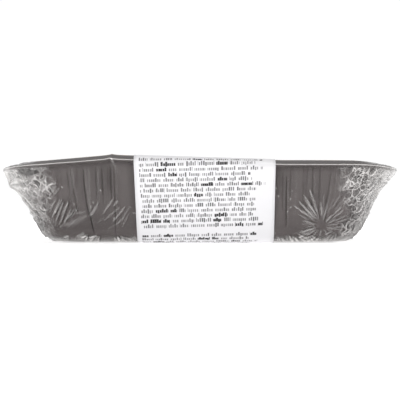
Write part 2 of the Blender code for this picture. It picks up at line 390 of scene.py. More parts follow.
def shrink_film():
    """Polyolefin shrink film, blown and heat shrunk. It is clear where it is taut, with a
    sharp gloss. Each crease and gathered layer gets a whitish haze with painted sheen: the
    highlights and reflections that they catch are painted as a diffuse white, and the far side
    of a fold is painted shade, a diffuse dark. The marks on its mesh say how much there is of
    each, how glossy it is seen face on, and where it is crumpled into two nets of small cells,
    with painted highlights on broken edges and some faces in painted shade."""
    material, add = new_material("clear shrink film")
    haze_and_sheen, dark, crumple, face_gloss = (add("Attribute", attribute_name=name).outputs["Fac"]
                                       for name in ("haze_and_sheen", "dark", "crumple", "gloss"))
    place = add("TexCoord").outputs["Object"]
    bend = add("TexNoise", {"Vector": place, "Scale": per_metre(4.76), "Detail": 1.0})
    bent = add("VectorMath", (bend.outputs["Color"], [4.6 * MM] * 3, place),
               operation="MULTIPLY_ADD")
    bent = add("VectorMath", (bent, (1.0, 1.0, 0.72)), operation="MULTIPLY")
    breaks = add("TexNoise", {"Vector": place, "Scale": per_metre(3.85), "Detail": 1.0})

    def net(cell, half_line):
        """The edges of a net whose cells and half edges are this many millimetres wide, and
        each cell's own draw."""
        inputs = {"Vector": bent, "Scale": per_metre(cell)}
        edge = add("TexVoronoi", inputs, feature="DISTANCE_TO_EDGE")
        draw = add("SeparateColor", [add("TexVoronoi", inputs).outputs["Color"]])
        wide = half_line / cell
        return add("MapRange", (edge, 0.35 * wide, wide, 1.0, 0.0)), draw

    # The edges of both nets carry painted highlights, broken up and patchy, and a few faces are
    # painted as lit all over
    coarse, coarse_draw = net(4.44, 0.22)
    fine, fine_draw = net(2.5, 0.17)
    breach = add("MapRange", (breaks, 0.37, 0.45))
    coarse = add("Math", (coarse, breach), operation="MULTIPLY")
    fade = add("MapRange", (breaks, 0.5, 0.6, 0.8, 0.15))
    fine = add("Math", (fine, fade), operation="MULTIPLY")
    lines = add("Math", (coarse, fine), operation="MAXIMUM")
    patches = add("TexNoise", {"Vector": place, "Scale": per_metre(13.3), "Detail": 1.0})
    patches = add("MapRange", (patches, 0.42, 0.56, 0.4, 0.6))
    lit_faces = add("MapRange", (fine_draw, 0.4, 1.0, 0.0, 0.16))
    lit = add("Math", (lines, patches), operation="MULTIPLY")
    lit = add("Math", (lit, lit_faces), operation="MAXIMUM")
    # Painted shade on faces between the edges
    fine_shaded = add("MapRange", (fine_draw, 0.2, 0.65, 0.75, 0.0))
    coarse_shaded = add("MapRange", (coarse_draw, 0.3, 0.7, 1.0, 0.3))
    shaded_faces = add("Math", (fine_shaded, coarse_shaded), operation="MULTIPLY")
    clear_of_lines = add("Math", (1.0, lines), operation="SUBTRACT")
    shaded_faces = add("Math", (shaded_faces, clear_of_lines), operation="MULTIPLY")
    # The crumple is added to the marks, which give how much haze and painted sheen there is and how
    # much painted shade
    haze_and_sheen = add("Math", (lit, crumple, haze_and_sheen), operation="MULTIPLY_ADD")
    dark = add("Math", (shaded_faces, crumple, dark), operation="MULTIPLY_ADD")
    amount = add("Math", (haze_and_sheen, dark), operation="ADD", use_clamp=True)
    share = add("Math", (dark, amount), operation="DIVIDE", use_clamp=True)
    # The body's colour runs from a painted white sheen to a painted dark shade, by the share of
    # painted shade
    tone = add("Mix", {0: share, 6: linear("#ebe8e6"), 7: linear("#242120")}, data_type="RGBA")
    relief = add("Math", (crumple, 0.3), operation="MULTIPLY")
    bump = add("Bump", {"Strength": relief, "Distance": 0.3 * MM, "Height": lines})
    body = add("BsdfPrincipled", {"Base Color": tone, "Roughness": 0.5,
                                  "Specular IOR Level": 0.1, "Normal": bump})
    veiled = add("MixShader", (amount, add("BsdfTransparent"), body))
    mirror = add("Fresnel", {"IOR": 1.36, "Normal": bump})
    more = add("Math", (face_gloss, 0.03, -0.03), operation="MULTIPLY_ADD")
    mirror = add("Math", (mirror, more), operation="ADD", use_clamp=True)
    gloss = add("BsdfAnisotropic", {"Roughness": 0.12, "Normal": bump})
    add("OutputMaterial", [add("MixShader", (mirror, veiled, gloss))])
    return material


ROW_PITCH = 2.75
PRINT_SLOPE = 0.058  # the rows climb across the paper
DASH_PITCH = 0.98
DASH_SHIFT = 0.37  # in dashes, from row to row
GROUP_LENGTH = 6.2
GROUP_SHIFT = 17.3  # in groups, from row to row
PRINT_LEFT = 2.4
PRINT_RIGHT = 61.5
PRINT_RAGGED = 8.0  # how much shorter a row may be
PRINT_BLOCKS = ((-1, 12), (14, 18))
FIELD_MIDDLE = (33.0, -62.0)
FIELD_HALF = (30.0, 42.0)
BAND_LINE = 20.0
DISC_MIDDLE = (33.0, -74.0)
DISC_RADII = (21.0, 16.5)


def printed_paper():
    """White coated label paper, offset printed. Its map gives millimetres across and along
    it. On the front are rows of plain short dashes in two blocks: some rise or hang, gaps
    part them into groups, and some groups are heavier. The top has a field of colour with a
    pale band and two discs. The paper's cloudy pulp is drawn coarser than it is."""
    material, add = new_material("coated label paper")
    across, along = add("SeparateXYZ", [add("UVMap", uv_map="paper")]).outputs[:2]

    def both(first, *others):
        """One where every value is one: their product."""
        for other in others:
            first = add("Math", (first, other), operation="MULTIPLY")
        return first

    def within(value, low, high):
        """One where a value lies between two others."""
        return both(add("Math", (value, low), operation="GREATER_THAN"),
                    add("Math", (value, high), operation="LESS_THAN"))

    # The row that each spot is in, and its place in it
    down = add("Math", (across, PRINT_SLOPE, along), operation="MULTIPLY_ADD")
    row_place = add("Math", (down, ROW_PITCH), operation="DIVIDE")
    row = add("Math", [row_place], operation="FLOOR")
    height = add("Math", [row_place], operation="FRACT")
    row_draw = add("TexWhiteNoise", {"W": row}, noise_dimensions="1D")
    right = add("Math", (row_draw, -PRINT_RAGGED, PRINT_RIGHT), operation="MULTIPLY_ADD")
    blocks = 0.0
    for first, last in PRINT_BLOCKS:
        blocks = add("Math", (blocks, within(row, first - 0.5, last + 0.5)), operation="ADD")
    # The dash, with draws for its shade, and for whether it rises, hangs or is wide
    dashes = add("Math", (across, DASH_PITCH), operation="DIVIDE")
    dashes = add("Math", (row, DASH_SHIFT, dashes), operation="MULTIPLY_ADD")
    dash = add("CombineXYZ", (add("Math", [dashes], operation="FLOOR"), row))
    dash_place = add("Math", [dashes], operation="FRACT")
    draws = add("TexWhiteNoise", {"Vector": dash}, noise_dimensions="2D")
    rises, hangs, widens = add("SeparateColor", [draws.outputs["Color"]]).outputs
    rises = add("Math", (rises, 0.7), operation="GREATER_THAN")
    hangs = add("Math", (hangs, 0.9), operation="GREATER_THAN")
    # The group of dashes, the gaps beside it, and whether it is heavy
    groups = add("Math", (across, GROUP_LENGTH), operation="DIVIDE")
    groups = add("Math", (row, GROUP_SHIFT, groups), operation="MULTIPLY_ADD")
    inputs = {"W": groups, "Scale": 1.0, "Randomness": 0.85}
    gap = add("TexVoronoi", inputs, voronoi_dimensions="1D", feature="DISTANCE_TO_EDGE")
    gap = add("Math", (gap, 0.5 * DASH_PITCH / GROUP_LENGTH), operation="GREATER_THAN")
    group = add("TexVoronoi", inputs, voronoi_dimensions="1D").outputs["Color"]
    heavy = add("Math", (add("SeparateColor", [group]), 0.82), operation="GREATER_THAN")
    # The ink
    top = add("Math", (rises, -0.22, 0.33), operation="MULTIPLY_ADD")
    foot = add("Math", (hangs, 0.12, 0.84), operation="MULTIPLY_ADD")
    width = add("Math", (widens, 0.25, 0.55), operation="MULTIPLY_ADD")
    width = add("Math", (heavy, 0.2, width), operation="MULTIPLY_ADD")
    inked = add("Math", (dash_place, width), operation="LESS_THAN")
    shade = add("Math", (draws, 0.3, 0.56), operation="MULTIPLY_ADD")
    shade = add("Math", (shade, heavy), operation="MAXIMUM")
    ink = both(within(height, top, foot), inked, gap, within(across, PRINT_LEFT, right), blocks,
               shade)
    # The field of colour, its band and its discs
    side, rise = (add("Math", (value, middle), operation="SUBTRACT")
                  for value, middle in zip((across, along), FIELD_MIDDLE))
    field = both(within(side, -FIELD_HALF[0], FIELD_HALF[0]),
                 within(rise, -FIELD_HALF[1], FIELD_HALF[1]))
    band = both(field, add("Math", (rise, BAND_LINE), operation="GREATER_THAN"))
    spot = add("CombineXYZ", (across, along))
    reach = add("VectorMath", (spot, (*DISC_MIDDLE, 0.0)), operation="DISTANCE")
    discs = [add("Math", (reach, radius), operation="LESS_THAN") for radius in DISC_RADII]
    place = add("TexCoord").outputs["Object"]
    pulp = add("TexNoise", {"Vector": place, "Scale": per_metre(4.17), "Detail": 5.0})
    tone = add("Mix", {0: pulp, 6: linear("#d6d5d7"), 7: linear("#d2d1d3")}, data_type="RGBA")
    colours = ("#9c4430", "#e9dcc0", "#efe6d2", "#d6963c", "#262425")
    for cover, colour in zip((field, band, *discs, ink), colours):
        tone = add("Mix", {0: cover, 6: tone, 7: linear(colour)}, data_type="RGBA")
    bump = add("Bump", {"Strength": 0.15, "Distance": 0.2 * MM, "Height": pulp})
    paper = add("BsdfPrincipled", {"Base Color": tone, "Roughness": 0.5,
                                   "Specular IOR Level": 0.35, "Normal": bump})
    add("OutputMaterial", [paper])
    return material


# The tray

def make_tray(material):
    """The foil tray: a profile carried round the plan, from the rolled lip over flange and
    crest down the wall to the middle of the base. Corner pleats are sines of the heading,
    and a crease runs down the wall under the kink."""
    arc = FOOT_RADIUS - FILM_TO_FOIL
    roll = []
    for angle in np.radians(np.linspace(-150, 90, 13)):
        inset = FILM_TO_FOIL - 0.2 + ROLL_RADIUS * (1 - math.cos(angle))
        drop = FLANGE_DROP + FILM_TO_FOIL + ROLL_RADIUS * (1 - math.sin(angle))
        roll.append((inset, FLANGE_RADIUS, 1.0, -drop))
    crest = (CREST_INSET + 0.1, CREST_RADIUS, 1.0, -0.3)
    shoulder = (CREST_INSET + 1.3, CREST_RADIUS, 1.0, -1.1)
    foot = [foot_row(arc, degrees) for degrees in np.linspace(WALL_LEAVES_FOOT, 0, 10)]
    base = [(BASE_INSET + step, max(2.0, BASE_RADIUS - step), 0.0, foot[-1][3])
            for step in np.geomspace(2.0, 40.0, 7)]
    rows = [
        *roll,
        *between(roll[-1], crest, (0.25, 0.5, 0.75, 0.92)),
        *between(crest, shoulder, (0.0, 0.45, 1.0)),
        *between(shoulder, foot[0], np.linspace(0.04, 0.97, 34)),
        *foot,
        *base,
    ]
    columns = columns_round(even(150), even(70), even(40))
    points = lofted(columns, rows)
    heading = columns[2][None, :]
    depth = np.arange(len(rows))[:, None]
    wall_first, wall_last = len(roll) + 4, len(rows) - len(base) - 4
    on_wall = ease(wall_first, wall_first + 3, depth) * (1 - ease(wall_last - 16, wall_last, depth))
    on_flange = ease(2, len(roll), depth) * (1 - ease(wall_first, wall_first + 2, depth))
    turn = np.mod(heading / math.radians(90), 1.0)
    on_corner = np.sin(np.pi * turn) ** 0.5
    pleats = np.sin(heading * 76) * 0.16 * on_corner
    waves = cloud(points * (1.0, 1.0, 0.2), 5.0, 21) * 0.14 + cloud(points, 14.0, 22) * 0.22
    x, y, z = np.moveaxis(points, -1, 0)
    front = ease(0, 30, -y)
    crease = bell(x, KINK_X + (38.0 - z) * 0.05, 0.9) * ease(4, 20, z) * front
    push = pleats * (on_wall + on_flange) + (waves - 0.5 * crease) * on_wall
    points = points + facing(points) * push[..., None]
    tray = skin("foil_tray", points, material, poles=(None, (0, 0, foot[-1][3])))
    wall = tray.modifiers.new("foil", "SOLIDIFY")
    wall.thickness = FOIL * MM
    wall.offset = 0.0
    return tray


# The food

FOOD_CLEARANCE = 0.7
FOOD_TOP = 27.0
FOOD_SHOULDER = 2.4


def make_food(material):
    """The pasta block: the tray's inside, drawn in by a small gap, under a humped top. The
    top's height is soft noise at three sizes, with long low steps where pasta sheets lie
    over each other."""
    arc = FOOT_RADIUS - FILM_TO_FOIL - FOOD_CLEARANCE
    foot = [foot_row(arc, degrees) for degrees in np.linspace(WALL_LEAVES_FOOT, 0, 8)]
    crest = (CREST_INSET + 2.0, CREST_RADIUS, 1.0, -FILM_TO_FOIL)
    shoulder = FOOD_TOP - FOOD_SHOULDER
    level = (shoulder - foot[0][3]) / (CREST_HEIGHT - FILM_TO_FOIL - foot[0][3])
    inset, radius, _, _ = between(foot[0], crest, [level])[0]
    side = (inset, radius, 0.0, shoulder)
    rim = [(inset + FOOD_SHOULDER * (1 - math.cos(angle)), radius - 1.0, 0.0,
            shoulder + FOOD_SHOULDER * math.sin(angle)) for angle in np.linspace(0, 1.5, 7)]
    columns = columns_round(even(130), even(80), even(34))
    edge_x, edge_y = plan(columns, rim[-1][0], rim[-1][1])
    shares = np.linspace(0.02, 0.985, 74)[:, None]
    top = np.stack([edge_x * shares, edge_y * shares, np.full_like(edge_x * shares, FOOD_TOP)], -1)
    rows = [*rim[::-1], *between(side, foot[0], np.linspace(0.1, 0.95, 10)), *foot]
    sides = lofted(columns, rows)
    points = np.concatenate([top, sides])
    x, y, z = np.moveaxis(points, -1, 0)
    flat = points * (1.0, 1.0, 0.0)
    on_top = ease(FOOD_TOP - 2.6, FOOD_TOP - 0.2, z)
    lumps = cloud(flat, 17.0, 31) * 0.9 + cloud(flat, 6.0, 32) * 0.6 + cloud(flat, 2.6, 33) * 0.4
    gap, draw, _, _ = facets(flat * (0.6, 1.0, 1.0) + cloud(flat, 9.0, 34)[..., None] * 2, 26.0, 35)
    sheets = (draw - 0.5) * ease(0.0, 2.2, gap)
    rise = lumps + sheets
    points[..., 2] += rise * on_top
    browning = ease(-0.3, 1.5, rise + cloud(flat, 11.0, 36) * 0.8) * 0.9
    spots = ease(0.1, 0.6, cloud(flat, 3.2, 37)) * ease(-0.5, 0.5, cloud(flat, 20.0, 38))
    browning = np.clip(browning + spots * 0.55, 0, 1) * on_top
    reach = np.maximum(np.abs(x) / edge_x.max(), np.abs(y) / edge_y.max())
    meat = ease(0.88, 1.0, reach + cloud(flat, 7.0, 39) * 0.1 + cloud(flat, 2.5, 40) * 0.04) * 0.85
    pools = ease(0.35, 0.62, cloud(flat, 9.0, 43) + cloud(flat, 2.6, 44) * 0.35)
    meat = np.maximum(np.maximum(meat, pools * 0.6), 1 - on_top)
    marks = {"browning": browning, "meat_sauce": meat}
    top_pole = (0, 0, points[0, :, 2].mean())
    return skin("pasta_block", points, material, poles=(top_pole, (0, 0, foot[-1][3])),
                marks=marks)


# The film

# Places on the film: how far round from the middle of an end, and how high
GATHER = (37.0, 28.2)
# WINDOW: a taut spot at the left end's lip, cleared of haze and given painted shade
WINDOW = (60.0, 33.8)  # a taut dark spot at the left end's lip
OUTLINE_SIDE = 42.0  # shows as the outline, seen from the front
STAR = (57.8, 8.5)  # x and z where the folds of a long side meet
FRONT_START, FRONT_END = 0.22, 0.77  # the ends reach this far along the long side
LONG_SHARES = spaced((0.0, FRONT_START, FRONT_END, 1.0), (0.0027, 0.0105, 0.0027))
CORNER_COLUMNS = 114
END_COLUMNS = 150
FILM_COLUMNS = columns_round(LONG_SHARES, even(END_COLUMNS), even(CORNER_COLUMNS))
FILM_EDGE = (0.3, FLANGE_RADIUS, 1.0, -FLANGE_DROP)


def fold(across, up, points, width):
    """How far each spot is from a fold through these points, in widths of the fold: the
    distance to the nearest stretch, over a width that tapers to nothing at both tips."""
    total = sum(math.dist(a, b) for a, b in zip(points, points[1:]))
    run = 0.0
    near = np.full(across.shape, 99.0)
    place = np.zeros(across.shape)
    for (ax, ay), (bx, by) in zip(points, points[1:]):
        length = math.hypot(bx - ax, by - ay)
        share = ((across - ax) * (bx - ax) + (up - ay) * (by - ay)) / length**2
        held = np.clip(share, 0, 1)
        off = np.hypot(across - ax - (bx - ax) * held, up - ay - (by - ay) * held)
        place = np.where(off < near, (run + held * length) / total, place)
        near = np.minimum(near, off)
        run += length
    taper = np.sqrt(np.clip(4 * place * (1 - place), 0.0, 1.0)) + 0.05
    return near / (width * taper)


def paired(points, shift, first, second):
    """A fold, and the same one moved across, each with its own width, haze and sheen, painted shade
    and relief.
    """
    return [(points, *first), ([(x + shift, z) for x, z in points], *second)]


def ray(centre, angle, start, end):
    """The tips of a straight fold that points away from a centre."""
    return [(centre[0] + r * math.cos(angle), centre[1] + r * math.sin(angle))
            for r in (start, end)]


def tension_folds(chance):
    """Near-upright folds under the lip, where the shrinking film pulls on it. Each is a line
    of painted shade with a painted highlight beside it, and between them are faint ones."""
    folds = []
    for dark, points in (
        (0.7, [(-54.5, 35.8), (-54.3, 27.4), (-53.4, 18.2), (-51.8, 12.3), (-50.2, 3.8)]),
        (0.4, [(-60.4, 35), (-59.8, 27.7), (-58.6, 19.7), (-57.5, 13)]),
        (0.3, [(-62.2, 34), (-61.2, 25)]),
        (0.25, [(-48.8, 35), (-48.4, 20)]),
        (0.35, [(-46.0, 36), (-45.6, 18)]),
        (0.3, [(-42.0, 37), (-41.7, 22)]),
        (0.45, [(-40.3, 38), (-40.1, 3.6)]),
        (0.45, [(52.6, 36.5), (52.8, 23.7), (52.5, 17)]),
        (0.3, [(50.2, 36.5), (50.0, 27.7)]),
        (0.35, [(61.3, 33.7), (59.6, 20.2), (59.2, 9.7)]),
        (0.3, [(55.9, 35.7), (56.0, 14)]),
        (0.6, [(40.4, 32), (40.8, 7.7)]),
        (0.25, [(42.3, 35), (42.3, 20)]),
        (0.3, [(38.6, 34), (38.9, 16)]),
        (0.4, [(65.0, 35.2), (65.6, 29), (66.4, 23.7)]),
        (0.25, [(63.2, 35), (63.0, 28)]),
    ):
        folds += paired(points, 0.9, (0.34, 0.0, dark * 0.95, -0.15), (0.34, 0.07 * dark, 0.0, 0.12))
    for x in np.concatenate([chance.uniform(-70, -41, 26), chance.uniform(38, 70, 22)]):
        low = chance.uniform(9, 26)
        drift = chance.normal(0, 0.7)
        points = [(x, 36.5), (x + drift * 0.4, 0.5 * (36.5 + low)), (x + drift, low)]
        light = chance.uniform(-0.12, 0.05)
        folds.append((points, chance.uniform(0.3, 0.8), max(0, light), max(0, -light) * 2, 0.05))
    return folds


def star_folds(chance):
    """Petals about the point where the film has drawn together near one foot: folds with
    painted highlights at steps of the angle, each with one in painted shade beside it."""
    folds = []
    for degrees, start, end, light in (
        (146, 8.5, 16.5, 0.42), (134, 5.0, 16.5, 0.5), (121, 6.5, 17, 0.5), (110, 12, 18.5, 0.42),
        (112, 4, 12, 0.3), (95, 4.5, 11.5, 0.3), (86, 3, 9, 0.16), (77, 4, 12, 0.2),
        (68, 6, 14, 0.14), (60, 9, 16.5, 0.2), (52, 9, 17.5, 0.16), (45, 6, 13, 0.18),
        (36, 5, 12, 0.14), (166, 2.5, 9.5, 0.26), (172, 4, 8, 0.2), (197, 3, 11, 0.34),
        (206, 4, 12, 0.24), (214, 3, 9, 0.2), (232, 2.5, 7, 0.25), (22, 3, 9, 0.16),
        (8, 2, 8, 0.25), (300, 2, 6, 0.3), (262, 2, 5.5, 0.3), (330, 3, 8, 0.2),
    ):
        turn = math.radians(degrees + chance.uniform(-1.5, 1.5))
        aside = turn - math.radians(4.5 if degrees > 90 else -4.5)
        folds.append((ray(STAR, turn, start, end), 0.32, light * 0.62, 0.0, 0.25))
        folds.append((ray(STAR, aside, start, end * 0.92), 0.32, 0.0, light * 0.6, -0.2))
    for degrees in chance.uniform(-25, 215, 44):
        start = chance.uniform(2, 9)
        tips = ray(STAR, math.radians(degrees), start, start + chance.uniform(3, 7))
        folds += paired(tips, 0.6, (0.26, chance.uniform(0.05, 0.22), 0.0, 0.08),
                        (0.26, 0.0, chance.uniform(0.05, 0.25), -0.08))
    return folds


def slanting_folds(chance):
    """Slanting folds at the other foot: a row of steep ones by the crumpled end, and longer,
    thinner ones towards the label, each a painted highlight with painted shade beside it."""
    folds = []
    for x, z, length, degrees, light in (
        (-71.4, 15.0, 7.0, 63, 0.30), (-70.2, 12.5, 9.5, 64, 0.42), (-69.0, 14.0, 8.0, 62, 0.34),
        (-68.6, 10.5, 10.5, 66, 0.44), (-66.8, 9.0, 11.5, 66, 0.40), (-65.9, 13.5, 7.5, 60, 0.28),
        (-64.6, 9.5, 8.0, 62, 0.34), (-63.0, 11.0, 7.0, 58, 0.24), (-61.3, 12.0, 6.5, 56, 0.2),
        (-70.8, 23.0, 5.5, 52, 0.30), (-69.4, 22.5, 5.5, 50, 0.24), (-64.6, 10.5, 6.2, 46, 0.30),
        (-62.4, 8.2, 6.0, 42, 0.16),
    ):
        angle = math.radians(degrees + chance.uniform(-1.5, 1.5))
        folds += paired(ray((x, z), angle, 0.0, length), 0.8,
                        (0.32, light * 0.66, 0.0, 0.3), (0.36, 0.0, light * 1.1, -0.25))
    for start, end, light in (
        ((-52.3, 13.0), (-47.8, 19.5), 0.3), ((-51.2, 13.5), (-48.6, 17.3), 0.16),
        ((-46.0, 14.2), (-40.6, 21.8), 0.3), ((-41.0, 17.8), (-38.6, 20.6), 0.26),
        ((-45.6, 10.8), (-37.8, 17.6), 0.22), ((-41.3, 10.4), (-35.4, 17.6), 0.32),
        ((-39.9, 9.0), (-35.4, 13.0), 0.2), ((-37.0, 8.0), (-33.6, 14.5), 0.16),
        ((-36.8, 12.0), (-32.6, 18.5), 0.16), ((-49.0, 9.6), (-45.0, 12.6), 0.1),
        ((-44.0, 6.6), (-36.0, 11.5), 0.1),
    ):
        folds += paired([start, end], 0.8,
                        (0.36, light * 0.75, 0.0, 0.25), (0.36, 0.0, light * 0.6, -0.12))
    folds.append(([(-66, 8.6), (-61, 9.6), (-53.5, 13.5)], 1.2, 0.09, 0.0, 0.2))
    folds.append(([(-59.5, 14.2), (-54, 15.2)], 0.5, 0.12, 0.0, 0.2))
    return folds


def foot_folds(chance):
    """Fans of fine wrinkles that spread down to the foot from points a little above it, each
    away from its neighbour and each a painted highlight with painted shade beside it, a few
    white welds, and pin holes with a painted glint."""
    folds = []
    fans = [(-50.2, 5.6, -1.0), (-40.1, 5.6, 1.0), (40.8, 6.0, 1.0)]
    for x in np.arange(-68, 71, 7.0) + chance.uniform(-1.5, 1.5, 20):
        fans.append((x, chance.uniform(4.2, 7.0), -1.0 if x < -45 or x > 55 else 1.0))
    for x, z, side in fans:
        for step in range(chance.integers(4, 7)):
            angle = math.radians(-90 + side * (chance.uniform(10, 20) + 12.0 * step))
            reach = min(chance.uniform(6.0, 11.0), (z - 0.3) / -math.sin(angle))
            first = chance.uniform(0.35, 0.55) * reach
            light = chance.uniform(0.12, 0.36)
            folds += paired(ray((x, z), angle, first, reach), 0.8,
                            (0.3, light * 1.2, 0.0, 0.06), (0.34, light * -0.3, light * 1.5, 0.0))
    for x, length in ((-65.2, 2.6), (-57.0, 2.6), (-53.2, 4.0), (47.0, 2.4)):
        folds.append(([(x, 2.8), (x + length, 3.6)], 0.34, 0.6, 0.0, 0.1))
    for _ in range(46):
        x, z = chance.uniform(-72, 72), chance.uniform(2, 27)
        folds.append(([(x, z), (x + 0.3, z)], 0.32, 0.7, 0.0, 0.1))
    return folds


def drawn_folds(x, y, z):
    """The haze and sheen, the painted shade and the relief that the folds of both long sides
    add, each a bell curve across the fold: the sheen is painted highlights, with the foot's
    white welds among them. The back's are the front's turned half round, with other draws."""
    sums = np.zeros((3, *x.shape))
    for seed, turn in ((41, 1.0), (42, -1.0)):
        chance = np.random.default_rng(seed)
        folds = tension_folds(chance) + star_folds(chance)
        folds += slanting_folds(chance) + foot_folds(chance)
        rows, columns = np.nonzero(y * turn < -30)
        across, up = x[rows, columns] * turn, z[rows, columns]
        for points, width, *amounts in folds:
            left, low = np.min(points, axis=0) - 3 * width
            right, high = np.max(points, axis=0) + 3 * width
            near = (across > left) & (across < right) & (up > low) & (up < high)
            height = bell(fold(across[near], up[near], points, width), 0.0, 1.0)
            for total, amount in zip(sums, amounts):
                total[rows[near], columns[near]] += amount * height
    return sums


def round_the_end(columns, inset, radius):
    """How far each column is from the middle of its end, along a ring of the film: the way
    along the straight side, then the corner's arc, then the long side."""
    x, y = plan(columns, inset, radius)
    straight = HALF_WIDTH - inset - radius
    bend = np.abs(np.arctan2(np.abs(y) - straight, np.abs(x) - HALF_LENGTH + inset + radius))
    on_corner = straight + bend * radius
    beyond = straight + radius * np.pi / 2 + HALF_LENGTH - inset - radius - np.abs(x)
    far = np.where(np.abs(y) < straight, np.abs(y), on_corner)
    return np.where(np.abs(x) < HALF_LENGTH - inset - radius, beyond, far)


def crumpled(points, from_end):
    """The larger creases of the crumpled ends: cells with tilted faces, most of whose edges
    stand up and get a painted highlight, while some sink and get painted shade. Each face is
    painted a little lighter or darker by its tilt, and the side seen as the outline a little
    lighter, as painted sheen. It gives their relief, haze and sheen, and painted shade."""
    bend = np.stack([cloud(points, 7.0, seed) for seed in (52, 53, 54)], -1) * 1.6
    gap, draw, edge_draw, tilt = facets((points + bend) * (1.0, 0.9, 0.8), 5.2, 55)
    _, _, _, fine_tilt = facets((points + bend) * (0.9, 1.0, 0.9), 2.8, 65)
    raised = bell(gap, 0.0, 0.5) * ease(0.35, 0.6, edge_draw)
    sunk = bell(gap, 0.0, 0.6) * (1 - ease(0.1, 0.25, edge_draw))
    tender = cloud(points, 3.0, 85) * 0.5 + 0.5
    outer = bell(from_end, OUTLINE_SIDE, 8.0)
    relief = (0.16 + 0.4 * outer) * raised - 0.2 * sunk + 0.15 * tilt + 0.13 * fine_tilt
    # Haze at random, and painted sheen: lighter by each face's tilt, near the outline and on raised
    # edges; painted shade in the sunk ones
    haze_and_sheen = 0.02 + 0.05 * draw * tender + 0.04 * np.clip(tilt, -1, 1) + 0.05 * outer
    return relief, haze_and_sheen + 0.05 * raised, 0.35 * sunk


def gathered(points, z, from_end):
    """The gathers, one on each side of both ends: pleats are the sine of the angle about
    each, and fade out with the distance. It gives that distance and the pleats' height."""
    off_side = from_end - GATHER[0]
    off_up = (z - GATHER[1]) / 0.86
    about = np.arctan2(off_up, off_side)
    pleat = np.abs(np.sin(about * 7 + cloud(points, 5.0, 81) * 1.3))
    return np.hypot(off_side, off_up), pleat


